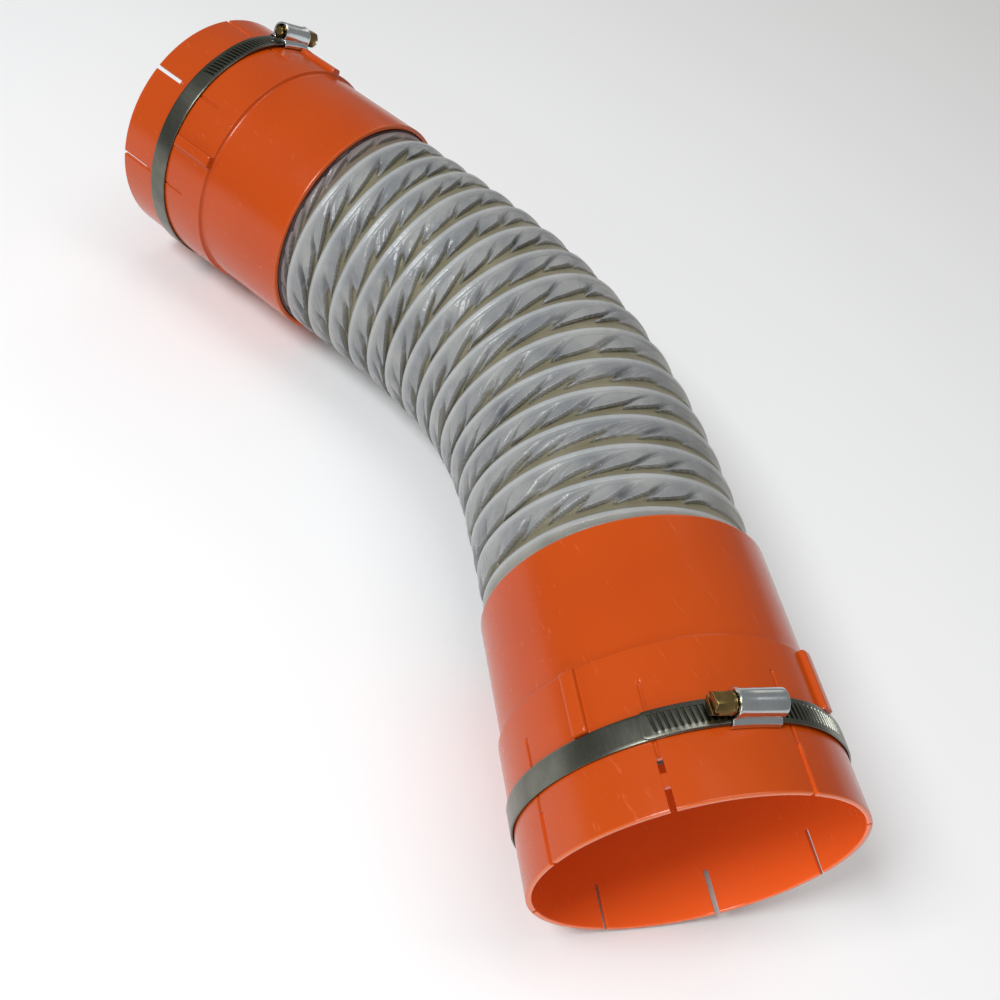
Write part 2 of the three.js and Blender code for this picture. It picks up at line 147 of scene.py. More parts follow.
# ------------------------------------------------------------------ mesh helpers
def mesh_object(name, points, faces, material, sharp=0.6, flip=None, attributes=None, normals=None):
    """faces: integer array of quads or triangles, or a list. Turned to face out by the signed volume."""
    points = np.asarray(points, float).reshape(-1, 3)
    faces = [list(map(int, f)) for f in faces]
    tri = np.array([(f[0], f[k], f[k + 1]) for f in faces for k in range(1, len(f) - 1)])
    p = points - points.mean(0)
    volume = np.einsum("ij,ij->i", p[tri[:, 0]], np.cross(p[tri[:, 1]], p[tri[:, 2]])).sum()
    turned = volume < 0 if flip is None else flip
    if turned:
        faces = [f[::-1] for f in faces]
    mesh = bpy.data.meshes.new(name)
    mesh.from_pydata(points.tolist(), [], faces)
    mesh.validate()
    mesh.shade_smooth()
    if attributes:
        for key, values in attributes.items():
            layer = mesh.attributes.new(key, "FLOAT", "POINT")
            layer.data.foreach_set("value", np.asarray(values, np.float32).ravel())
    if normals is not None:
        mesh.normals_split_custom_set_from_vertices(np.asarray(normals).reshape(-1, 3).tolist())
    elif sharp:
        mesh.set_sharp_from_angle(angle=sharp)
    obj = bpy.data.objects.new(name, mesh)
    scene.collection.objects.link(obj)
    mesh.materials.append(material)
    return obj


def applied(obj):
    """The object with its modifiers made real."""
    dg = bpy.context.evaluated_depsgraph_get()
    new = bpy.data.meshes.new_from_object(obj.evaluated_get(dg))
    obj.modifiers.clear()
    obj.data = new
    return obj


def bevel(obj, width, segments=2, angle=0.6):
    m = obj.modifiers.new("bevel", "BEVEL")
    m.width = width * MM
    m.segments = segments
    m.limit_method = "ANGLE"
    m.angle_limit = angle
    m.harden_normals = False
    return applied(obj)


def cells(phis, zs, r_out, r_in, solid, place, wrap):
    """A shell of cells over two height fields. r_out and r_in are [i, j] over phis and zs; solid is per cell."""
    ni, nj = r_out.shape
    out = place(phis, zs, r_out)
    inn = place(phis, zs, r_in)
    points = np.concatenate([out.reshape(-1, 3), inn.reshape(-1, 3)])
    base = ni * nj

    def o(i, j):
        return (i % ni) * nj + j

    faces = []
    ci = ni if wrap else ni - 1

    def full(i, j):
        if j < 0 or j >= nj - 1:
            return False
        if wrap:
            return solid[i % ci, j]
        return 0 <= i < ci and solid[i, j]

    for i in range(ci):
        for j in range(nj - 1):
            if not solid[i, j]:
                continue
            a, b, c, d = o(i, j), o(i + 1, j), o(i + 1, j + 1), o(i, j + 1)
            faces.append((a, b, c, d))
            faces.append((base + d, base + c, base + b, base + a))
            if not full(i, j - 1):
                faces.append((base + a, base + b, b, a))
            if not full(i, j + 1):
                faces.append((base + c, base + d, d, c))
            if not full(i - 1, j):
                faces.append((base + d, base + a, a, d))
            if not full(i + 1, j):
                faces.append((base + b, base + c, c, b))
    used = np.unique([v for f in faces for v in f])
    remap = -np.ones(len(points), int)
    remap[used] = np.arange(len(used))
    return points[used], [tuple(remap[list(f)]) for f in faces], used


def cell_values(values, used):
    """The outside layer's values for the points that cells() kept, and none on the inside layer."""
    return np.concatenate([values.ravel(), 0 * values.ravel()])[used]


# ------------------------------------------------------------------ materials
def new_material(name):
    m = bpy.data.materials.new(name)
    m.use_nodes = True
    nt = m.node_tree
    nt.nodes.clear()
    out = nt.nodes.new("ShaderNodeOutputMaterial")
    b = nt.nodes.new("ShaderNodeBsdfPrincipled")
    nt.links.new(b.outputs["BSDF"], out.inputs["Surface"])
    return m, nt, b


def srgb(r, g, b):
    f = lambda c: (c / 255 / 12.92) if c / 255 <= 0.04045 else ((c / 255 + 0.055) / 1.055) ** 2.4
    return (f(r), f(g), f(b), 1.0)


def node(nt, kind, **values):
    n = nt.nodes.new(kind)
    for key, value in values.items():
        if hasattr(n, key):
            setattr(n, key, value)
        else:
            n.inputs[key.replace("_", " ")].default_value = value
    return n


def mixed(nt, factor, a, b):
    m = nt.nodes.new("ShaderNodeMix")
    m.data_type = "RGBA"
    if isinstance(factor, (int, float)):
        m.inputs[0].default_value = factor
    else:
        nt.links.new(factor, m.inputs[0])
    for value, socket in ((a, m.inputs[6]), (b, m.inputs[7])):
        if isinstance(value, tuple):
            socket.default_value = value
        else:
            nt.links.new(value, socket)
    return m.outputs[2]


def ramp(nt, value, *stops):
    r = nt.nodes.new("ShaderNodeValToRGB")
    e = r.color_ramp.elements
    while len(e) > 1:
        e.remove(e[-1])
    e[0].position, e[0].color = stops[0][0], (stops[0][1],) * 3 + (1,)
    for pos, v in stops[1:]:
        k = e.new(pos)
        k.color = (v,) * 3 + (1,)
    nt.links.new(value, r.inputs[0])
    return r.outputs[0]


def noise_node(nt, vector, scale, detail=3.0, rough=0.5):
    n = nt.nodes.new("ShaderNodeTexNoise")
    n.inputs["Scale"].default_value = scale
    n.inputs["Detail"].default_value = detail
    n.inputs["Roughness"].default_value = rough
    if vector is not None:
        nt.links.new(vector, n.inputs["Vector"])
    return n


def mathn(nt, op, a, b=None, c=None):
    n = nt.nodes.new("ShaderNodeMath")
    n.operation = op
    for k, v in enumerate((a, b, c)):
        if v is None:
            continue
        if isinstance(v, (int, float)):
            n.inputs[k].default_value = v
        else:
            nt.links.new(v, n.inputs[k])
    return n.outputs[0]


def bumped(nt, height, strength, distance, normal=None):
    b = nt.nodes.new("ShaderNodeBump")
    b.inputs["Strength"].default_value = strength
    b.inputs["Distance"].default_value = distance
    nt.links.new(height, b.inputs["Height"])
    if normal is not None:
        nt.links.new(normal, b.inputs["Normal"])
    return b.outputs["Normal"]


def coordinates(nt, scale=(1, 1, 1), rotation=(0, 0, 0)):
    t = nt.nodes.new("ShaderNodeTexCoord")
    m = nt.nodes.new("ShaderNodeMapping")
    m.inputs["Scale"].default_value = scale
    m.inputs["Rotation"].default_value = rotation
    nt.links.new(t.outputs["Object"], m.inputs["Vector"])
    return m.outputs["Vector"]


def attribute(nt, name):
    a = nt.nodes.new("ShaderNodeAttribute")
    a.attribute_name = name
    return a.outputs["Fac"]


def orange_plastic(name, seed):
    m, nt, b = new_material(name)
    wide = noise_node(nt, coordinates(nt, (14, 14, 14)), 1.0, 2.0)
    fine = noise_node(nt, coordinates(nt, (120, 120, 120)), 1.0, 4.0)
    inside = attribute(nt, "inside")
    colour = mixed(nt, ramp(nt, wide.outputs["Fac"], (0.35, 0.0), (0.7, 1.0)), srgb(188, 71, 9), srgb(180, 65, 7))
    # painted light: the inner wall is given a lighter orange to stand in for light falling into the sleeve's mouth
    colour = mixed(nt, inside, colour, srgb(255, 106, 42))
    # painted highlight: rims, slot lips and rib edges are lightened as if they caught the light
    edge_highlight = attribute(nt, "edge_highlight")
    colour = mixed(nt, mathn(nt, "MULTIPLY", edge_highlight, 0.6), colour, srgb(226, 120, 66))
    # faint scuffs, long round the sleeve and short along it
    scuff = noise_node(nt, coordinates(nt, (30, 420, 420), (0, 0, seed)), 1.0, 5.0, 0.65)
    scuffs = ramp(nt, scuff.outputs["Fac"], (0.62, 0.0), (0.72, 1.0))
    colour = mixed(nt, mathn(nt, "MULTIPLY", scuffs, 0.10), colour, srgb(240, 150, 100))
    nt.links.new(colour, b.inputs["Base Color"])
    rough = mathn(nt, "MULTIPLY_ADD", fine.outputs["Fac"], 0.10, 0.17)
    rough = mathn(nt, "MULTIPLY_ADD", scuffs, 0.12, rough)
    nt.links.new(rough, b.inputs["Roughness"])
    b.inputs["IOR"].default_value = 1.5
    b.inputs["Specular IOR Level"].default_value = 0.33
    b.inputs["Coat Weight"].default_value = 0.04
    b.inputs["Coat Roughness"].default_value = 0.12
    n = bumped(nt, wide.outputs["Fac"], 0.25, 0.0012)
    n = bumped(nt, fine.outputs["Fac"], 0.05, 0.0002, n)
    n = bumped(nt, scuffs, 0.05, 0.00008, n)
    nt.links.new(n, b.inputs["Normal"])
    return m


def hose_cloth(name):
    m, nt, b = new_material(name)
    olive_shade = attribute(nt, "olive_shade")
    crease_shade = attribute(nt, "crease_shade")
    ridge = attribute(nt, "ridge")
    around = attribute(nt, "around")
    blot = noise_node(nt, coordinates(nt, (60, 60, 60)), 1.0, 3.0)
    fine = noise_node(nt, coordinates(nt, (900, 900, 900)), 1.0, 3.0)
    grey = mixed(nt, ramp(nt, blot.outputs["Fac"], (0.35, 0.0), (0.65, 1.0)), srgb(119, 121, 124), srgb(145, 146, 144))
    tan = mixed(nt, ramp(nt, blot.outputs["Fac"], (0.3, 0.0), (0.7, 1.0)), srgb(118, 112, 88), srgb(134, 128, 106))
    # painted shade: a khaki tint on the far-facing slopes and the cuffs stands in for warm reflected light and shade;
    # the fabric itself is one grey
    colour = mixed(nt, olive_shade, grey, tan)
    brown = attribute(nt, "brown")
    colour = mixed(nt, brown, colour, srgb(108, 88, 84))
    # painted shade: the crevices under the lips and the notches between the pleats are darkened as shadow
    colour = mixed(nt, mathn(nt, "MULTIPLY", crease_shade, 0.94), colour, srgb(42, 38, 34))
    # painted highlight: a pale band along each crest, where the welt catches the light
    pale = ramp(nt, ridge, (0.0, 1.0), (0.06, 0.8), (0.12, 0.35), (0.30, 0.0))
    # painted highlight: the thin pale line along the lips of the pleats
    pale = mathn(nt, "MAXIMUM", pale, attribute(nt, "turned"))
    colour = mixed(nt, mathn(nt, "MULTIPLY", pale, 0.55), colour, srgb(184, 186, 185))
    nt.links.new(colour, b.inputs["Base Color"])
    rough = mathn(nt, "MULTIPLY_ADD", fine.outputs["Fac"], 0.16, 0.22)
    rough = mathn(nt, "MULTIPLY_ADD", olive_shade, 0.12, rough)
    nt.links.new(rough, b.inputs["Roughness"])
    b.inputs["IOR"].default_value = 1.5
    b.inputs["Sheen Weight"].default_value = 0.03
    b.inputs["Sheen Roughness"].default_value = 0.5
    # drawn lines along the welt, then the weave under the coating
    lines = mathn(nt, "SINE", mathn(nt, "MULTIPLY", ridge, 42.0))
    lines = mathn(nt, "MULTIPLY", lines, ramp(nt, ridge, (0.0, 1.0), (0.35, 0.6), (0.55, 0.0)))
    wrinkle = noise_node(nt, coordinates(nt, (190, 190, 190)), 1.0, 4.0, 0.6)
    n = bumped(nt, lines, 0.35, 0.00012)
    n = bumped(nt, wrinkle.outputs["Fac"], 0.6, 0.0008, n)
    weave = mathn(nt, "MULTIPLY", mathn(nt, "SINE", mathn(nt, "MULTIPLY", around, 2 * math.pi / 0.7)),
                  mathn(nt, "SINE", mathn(nt, "MULTIPLY", ridge, 60.0)))
    n = bumped(nt, weave, 0.06, 0.00006, n)
    nt.links.new(n, b.inputs["Normal"])
    return m


def metal(name, colour_a, colour_b, rough, streak_scale, streak=0.3, bump=0.15, groove_dirt_and_shade=None):
    m, nt, b = new_material(name)
    wide = noise_node(nt, coordinates(nt, (90, 90, 90)), 1.0, 3.0)
    fine = noise_node(nt, coordinates(nt, streak_scale), 1.0, 4.0, 0.6)
    colour = mixed(nt, ramp(nt, wide.outputs["Fac"], (0.35, 0.0), (0.65, 1.0)), colour_a, colour_b)
    if groove_dirt_and_shade:
        # darkens the pressed thread grooves: partly dirt, partly painted shade in the hollows
        colour = mixed(nt, mathn(nt, "MULTIPLY", attribute(nt, "groove_dirt_and_shade"), 0.75), colour, groove_dirt_and_shade)
    nt.links.new(colour, b.inputs["Base Color"])
    b.inputs["Metallic"].default_value = 1.0
    r = mathn(nt, "MULTIPLY_ADD", fine.outputs["Fac"], streak * 0.5, rough)
    nt.links.new(r, b.inputs["Roughness"])
    n = bumped(nt, fine.outputs["Fac"], bump, 0.0001)
    nt.links.new(n, b.inputs["Normal"])
    return m


def adhesive_material(name):
    m, nt, b = new_material(name)
    wide = noise_node(nt, coordinates(nt, (220, 220, 220)), 1.0, 4.0)
    colour = mixed(nt, wide.outputs["Fac"], srgb(64, 34, 36), srgb(38, 20, 24))
    nt.links.new(colour, b.inputs["Base Color"])
    b.inputs["Roughness"].default_value = 0.38
    nt.links.new(bumped(nt, wide.outputs["Fac"], 0.6, 0.0008), b.inputs["Normal"])
    return m


M_SLEEVE_A = orange_plastic("sleeve_plastic_a", 0.36)
M_SLEEVE_B = orange_plastic("sleeve_plastic_b", -0.36)
M_HOSE = hose_cloth("hose_fabric")
M_WIRE = metal("spring_wire", srgb(120, 116, 110), srgb(96, 94, 90), 0.35, (700, 700, 700))
M_GLUE = adhesive_material("adhesive")
M_BAND = metal("band_steel", srgb(116, 117, 107), srgb(100, 101, 92), 0.22, (250, 250, 2600), 0.25, 0.12, srgb(62, 60, 50))
M_ZINC = metal("housing_zinc", srgb(220, 226, 228), srgb(202, 209, 212), 0.13, (900, 900, 900), 0.25, 0.10)
M_BRASS = metal("screw_brass", srgb(158, 134, 82), srgb(120, 98, 62), 0.17, (800, 800, 800), 0.3, 0.15)

# ------------------------------------------------------------------ sleeves
R_SOCKET, R_BORE, R_NECK, R_HOLD = 57.25, 55.25, 55.7, 53.65
STEP_AT = 53.0
SLOT_W, SLOT_L, SCORE_END = 1.9, 16.0, 41.0


def sleeve(name, side, slot_phase, rib_phase, bridged, body, material, torn):
    # distances from the rim
    rows = [0, 0.12, 0.35, 0.8, 2, 4, 5.8, 7.1, 7.25, 9, 11.05, 11.2, 12.5, 14, 15.2, 15.75, 16.0, 16.25, 16.8, 18, 20,
            22.5, 25, 27.5, 29.8, 30.9, 31.0, 31.3, 33, 36, 38.5, 40.2, 41.0, 41.15, 43, 46, 49, 51.6, 52.6, 52.9, 53.0,
            53.18, 53.45, 53.8, 54.6, 58, 63, 68, 74, 80, 86, 92, 97, 100.5, 102.2, 102.85, 103.08, 103.2]
    zs = np.array(rows, float)
    slot_angles = [slot_phase + 45 * k for k in range(8)]
    rib_angles = [rib_phase + 90 * k for k in range(4)]
    features = []
    per = 1 / (R_SOCKET * D2R)          # degrees per millimetre
    for a in slot_angles:
        for off in (-1.35, -1.05, -0.95, -0.6, -0.42, 0.0, 0.42, 0.6, 0.95, 1.05, 1.35):
            features.append(a + off * per)
    for a in rib_angles:
        for off in (-2.95, -2.6, -2.5, -2.2, -1.6, 0.0, 1.6, 2.2, 2.5, 2.6, 2.95):
            features.append(a + off * per)
    features = np.array(features) % 360
    plain = np.arange(0, 360, 1.5)
    gap = np.abs((plain[:, None] - features[None] + 180) % 360 - 180).min(1)
    deg = np.unique(np.round(np.concatenate([plain[gap > 0.45], features]), 5))
    phi = deg * D2R
    ni, nj = len(deg), len(zs)

    def near_angle(a, half_mm):
        return np.abs((deg - a + 180) % 360 - 180) / per <= half_mm + 1e-6

    # outer and inner radius
    z = zs[None] + np.zeros((ni, 1))
    r_out = np.where(z < STEP_AT + 0.05, R_SOCKET, R_NECK)
    blend = np.interp(z, [53.0, 53.18, 53.45, 53.8, 54.6], [0, 0.12, 0.75, 0.94, 1.0])
    r_out = R_SOCKET + (R_NECK - R_SOCKET) * blend
    r_out -= np.interp(z, [0, 0.12, 0.35], [0.32, 0.10, 0.0])
    r_out -= np.interp(z, [102.85, 103.08, 103.2], [0.0, 0.10, 0.30])
    r_in = np.interp(z, [0, 0.12, 0.35, 52.9, 53.0, 102.85, 103.08, 103.2],
                     [R_BORE + 0.35, R_BORE + 0.1, R_BORE, R_BORE, R_HOLD, R_HOLD, R_HOLD + 0.06, R_HOLD + 0.25])
    # painted highlight weights: lighter colour on the rims, the slot lips and the rib edges, as if they caught the
    # light
    edge_highlight = np.zeros((ni, nj))
    edge_highlight += np.interp(z, [0, 0.12, 0.35, 0.8], [1.0, 0.8, 0.25, 0.0])
    edge_highlight += np.interp(z, [102.2, 102.85, 103.08, 103.2], [0, 0.15, 0.6, 0.8])
    solid = np.ones((ni, nj - 1), bool)
    mid_deg = (deg + np.concatenate([deg[1:], [deg[0] + 360]])) / 2
    mid_z = (zs[1:] + zs[:-1]) / 2
    for k, a in enumerate(slot_angles):
        d = (mid_deg - a + 180) % 360 - 180
        hole_i = np.abs(d) / per < SLOT_W / 2
        hole_j = mid_z < SLOT_L
        if bridged and k == 7:
            hole_j &= ~((mid_z > 7.1) & (mid_z < 11.2))
        solid[np.ix_(hole_i, hole_j)] = False
        rim = near_angle(a, 1.06) & ~near_angle(a, 0.94)
        lip = near_angle(a, 0.96) & ~near_angle(a, 0.9)
        zz = (zs <= SLOT_L + 0.01)
        r_out[np.ix_(lip, zz)] -= 0.16
        r_in[np.ix_(lip, zz)] += 0.10
        # painted highlight on the slot lips
        edge_highlight[np.ix_(lip, zz)] += 0.25
        # score line beyond the slot
        groove = np.zeros(ni)
        dd = np.abs((deg - a + 180) % 360 - 180) / per
        groove = np.interp(dd, [0, 0.42, 0.6, 0.95], [0.5, 0.5, 0.12, 0.0])
        run = np.interp(zs, [16.0, 16.25, 16.8, 40.2, 41.0, 41.15], [0.0, 0.25, 1.0, 1.0, 0.8, 0.0])
        if torn and k == 0:
            run = run * (1.0 + 0.25 * np.sin(zs * 1.7) * ((zs > 16) & (zs < 27)))
        r_out -= groove[:, None] * run[None]
    for a in rib_angles:
        dd = np.abs((deg - a + 180) % 360 - 180) / per
        across = np.interp(dd, [0, 1.6, 2.2, 2.5, 2.6, 2.95], [1.0, 1.0, 0.96, 0.82, 0.08, 0.0])
        along = np.interp(zs, [30.9, 31.0, 31.3, 51.6, 52.6, 52.9, 53.0, 53.18], [0.0, 0.80, 1.0, 1.0, 0.98, 0.85, 0.7, 0.0])
        rib = across[:, None] * along[None] * 2.2
        r_out = r_out + rib
        # painted highlight along the rib edges
        edge_highlight += np.where((rib > 1.6) & (rib < 2.15), 0.10, 0.0)
    # the thin wall is never perfectly round, but the wobble below is added with zero weight, so the shell stays round
    wob = 0.12 * np.sin(2 * phi + 0.6)[:, None] * smooth(60 - z, 0, 60)
    r_out, r_in = r_out + wob * 0.0, r_in + wob * 0.0
    start = 0.0 if side < 0 else HOSE

    def place(p, zz, r):
        s = (start + side * (SLEEVE_LENGTH - zz))[None] + 0 * r
        return on_tube(s, p[:, None] + 0 * r, r)

    points, faces, used = cells(phi, zs, r_out, r_in, solid, place, True)
    total = ni * nj
    # the inner layer is marked so the plastic material paints it lighter, as painted light on the inner wall
    inside = (used >= total).astype(float)
    e = np.clip(np.concatenate([edge_highlight.ravel(), edge_highlight.ravel() * 0.6])[used], 0, 1)
    obj = mesh_object(name, points, faces, material, sharp=0.9, attributes={"inside": inside, "edge_highlight": e})
    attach(obj, body)
    return obj


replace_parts(sleeve("sleeve_shell_a", -1, 16.0, -50.5, True, "sleeve_near", M_SLEEVE_A, True), "sleeve_a")
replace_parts(sleeve("sleeve_shell_b", 1, -39.0, -61.5, False, "sleeve_far", M_SLEEVE_B, False), "sleeve_b")

# ------------------------------------------------------------------ hose
CREST = 53.4
TURNS_C = np.array([TURN_AT[0] - 15.2] + TURN_AT + [TURN_AT[-1] + 14.6])
INDEX_C = np.arange(len(TURNS_C))
RING = 2 * np.pi * 52.0
_rs = np.random.RandomState(11)
_gaps = _rs.uniform(10.5, 21.5, 760)
KNOTS = np.cumsum(_gaps) - RING
TALL = _rs.uniform(0.55, 1.15, 761)
DEEP = _rs.uniform(0.35, 1.30, 761)
PEAK = _rs.uniform(0.75, 1.45, 761)


def hose_surface(s, phi):
    """Radius, shift along the hose and material weights of the fabric's outside."""
    deg = phi / D2R
    q = np.interp(s, TURNS_C, INDEX_C) + deg / 360
    k = np.floor(q)
    v = q - k
    low = np.interp(k - deg / 360, INDEX_C, TURNS_C)
    high = np.interp(k + 1 - deg / 360, INDEX_C, TURNS_C)
    t = np.clip(s / HOSE, 0, 1)
    curve = 2 * HALF_BEND / HOSE * (1 - FOCUS * np.cos(2 * np.pi * t))
    g = 1 + curve * 52 * np.sin(phi)
    d0 = (s - low) * g
    d1 = (high - s) * g
    pitch = d0 + d1
    arc = RING * (k - deg / 360)
    # how much the fabric is gathered: little on the stretched outside of the bend
    loose = 1 - 0.94 * smooth(np.sin(phi), 0.14, 0.46)
    loose = loose * (0.88 + 0.24 * noise1(arc / 70.0 + 9.1, 5))
    first = (k < 0.5).astype(float)
    last = (k > 15.5).astype(float)
    loose = loose * (1 - 0.97 * first) * (1 - 0.35 * last)
    # pleats that lean: each crease runs away from the lip and round the hose at once.
    # arc falls as the angle grows, so a crease goes toward lower arc as it leaves the lip
    lip = (0.46 + 0.06 * noise1(arc / 43.0 + 3.3, 8) - 0.07 * smooth(-np.sin(phi), 0.75, 0.98)) * pitch
    lean = 1.9 + 0.7 * noise1(arc / 90.0 + 5.0, 9)
    x = arc + lean * np.clip(d0 - lip, -1.5, 7.0) + 1.2 * noise1(arc / 11.0, 7)
    j = np.searchsorted(KNOTS, x) - 1
    a, b = KNOTS[j], KNOTS[j + 1]
    u = 1 - np.clip((x - a) / (b - a), 0, 1)
    cushion = np.power(np.clip(np.sin(np.pi * np.power(u, PEAK[j])), 0, 1), 0.74)
    tall = TALL[j] * (0.8 + 0.2 * smooth(b - a, 9.0, 16.0))
    notch = 1 - cushion
    away = smooth(u, 0.10, 1.0) ** 1.25 + 1.0 - smooth(u, 0.0, 0.085)
    dc = lip + loose * (4.4 * DEEP[j] * away - 1.5 - 0.7 * DEEP[j])
    dc = np.minimum(dc, pitch - 4.4)
    valley = 51.0 + 0.8 * np.sin(phi)
    valley = np.where(k < 0.5, 52.9, valley)
    drop = CREST - 0.9 - valley
    khaki = CREST - 0.9 * smooth(d0, 0.9, 2.2) - drop * smooth(d0, 1.3, np.maximum(lip, 3.6))
    light = CREST - 0.10 * smooth(d1, 0.0, 1.4) - 0.30 * smooth(d1, 2.0, 3.4) - (drop - 0.2) * smooth(d1, 2.6, np.maximum(pitch - lip, 5.0))
    front = smooth(d0, dc - 0.15, dc + 0.6)
    base = khaki * (1 - front) + light * front
    env = smooth(d1, 1.8, 6.8) * front
    amount = loose * env
    # smaller folds beside the pleats, creased where they meet
    xf = arc + lean * d0
    fold = np.abs(noise2(xf / 4.6, v * 1.5 + k * 7.7, 21))
    small = np.abs(noise2(xf / 2.7 + 3.7, v * 2.4 + k * 3.1, 22))
    lump = amount * (3.0 * tall * cushion - 1.8 * notch ** 2)
    r = base + lump + amount * (1.35 * (np.power(fold, 0.75) - 0.35) + 0.40 * (np.power(small, 0.8) - 0.3))
    r = r + 0.05 * noise2(arc / 9.0, v * 2 + k * 5.0, 23)
    outer_side = smooth(np.sin(phi), 0.3, 0.8)
    r = r - 0.16 * outer_side * front * smooth(d1, 2.5, 4.0) * (1 + noise2(arc / 14.0, v * 3 + k * 2.0, 24))
    r = np.minimum(r, CREST + 0.25)
    shift = -0.5 * np.clip(lump, 0, None) * (1 - smooth(d0, dc + 0.9, dc + 4.2)) / np.maximum(g, 0.6)
    # fabric leaves the near sleeve smoothly, with a few fine turns of thread
    lines = first * 0.10 * np.sin(d1 * 2.6) * smooth(d1, 0.5, 1.5)
    r = r + lines
    # tucked into the necks
    r = np.where(s > HOSE - 3, np.minimum(r, CREST - 2.3 * smooth(s, HOSE - 3, HOSE + 2.5)), r)
    r = np.where(s < 1.5, np.minimum(r, 53.25 - 1.4 * smooth(-s, 0.0, 6.0)), r)
    # painted shade weights: crevice darkens the underside of each lip, deep the notches between the pleats
    early = 1 - smooth(u, 0.13, 0.42)
    crevice = np.exp(-((d0 - dc + 0.15) / 0.5) ** 2) * np.clip(loose * 1.3, 0, 1) * (0.10 + 0.90 * early)
    crevice = np.maximum(crevice, np.exp(-((d0 - dc + 0.1) / 0.35) ** 2) * 0.7 * smooth(np.sin(phi), 0.10, 0.22) * (1 - smooth(np.sin(phi), 0.42, 0.62)) * (1 - first))
    # painted highlight: a thin pale line just past the lip of each pleat
    turned = np.exp(-((d0 - dc - 0.55) / 0.34) ** 2) * loose * smooth(u, 0.3, 0.5) * (1 - 0.7 * smooth(u, 0.9, 1.0))
    deep = np.clip(notch - 0.40, 0, 1) * 1.7 * (0.35 + 0.65 * early) * loose * smooth(d0, lip - 0.3, lip + 0.6) * smooth(d1, 3.0, 6.8)
    crease_shade = np.clip(crevice * 0.9 + deep * 0.75, 0, 1)
    # painted shade tint weights: khaki on the far-facing slope of each turn, the first turn and the outer side of the
    # bend
    olive_shade = (1 - front) * smooth(d0, 1.0, 2.0)
    olive_shade = np.clip(olive_shade + 0.35 * first, 0, 1)
    olive_shade = np.clip(olive_shade + 0.45 * outer_side * front * smooth(d1, 1.5, 3.0), 0, 1)
    ridge = np.where(d1 < d0, d1, np.where(d0 < 1.6, d0 * 0.8, 10.0)) / 10.0
    brown = last * smooth(d0, 1.0, 4.0) * 0.55
    return r, shift, dict(olive_shade=olive_shade, crease_shade=crease_shade, turned=turned, ridge=np.clip(ridge, 0, 1), around=arc + 0 * r, brown=brown)


COLS = 480
hinge_at = [-2.6] + [(TURN_AT[i] + TURN_AT[i + 1]) / 2 for i in range(15)] + [244.4]
cuts = [-9.0] + TURN_AT + [HOSE + 9.0]
bodies = ["sleeve_near"] * 3 + ["hose_turn_%02d" % (i + 1) for i in range(2, 14)] + ["sleeve_far"] * 3
THICK = 0.7
phi_c = (np.arange(COLS) * 2 * np.pi / COLS) - np.pi


def hose_points(s_rows, inner):
    s, p = np.meshgrid(s_rows, phi_c, indexing="ij")
    r, shift, extra = hose_surface(s, p)
    if inner:
        # the back of the cloth: the face moved in by the cloth's thickness
        r = r - THICK
    return on_tube(s + shift, p, r), extra


def grid_normals(points):
    du = np.roll(points, -1, 1) - np.roll(points, 1, 1)
    dv = np.gradient(points, axis=0)
    n = np.cross(dv, du)
    return n / np.maximum(np.linalg.norm(n, axis=-1, keepdims=True), 1e-12)


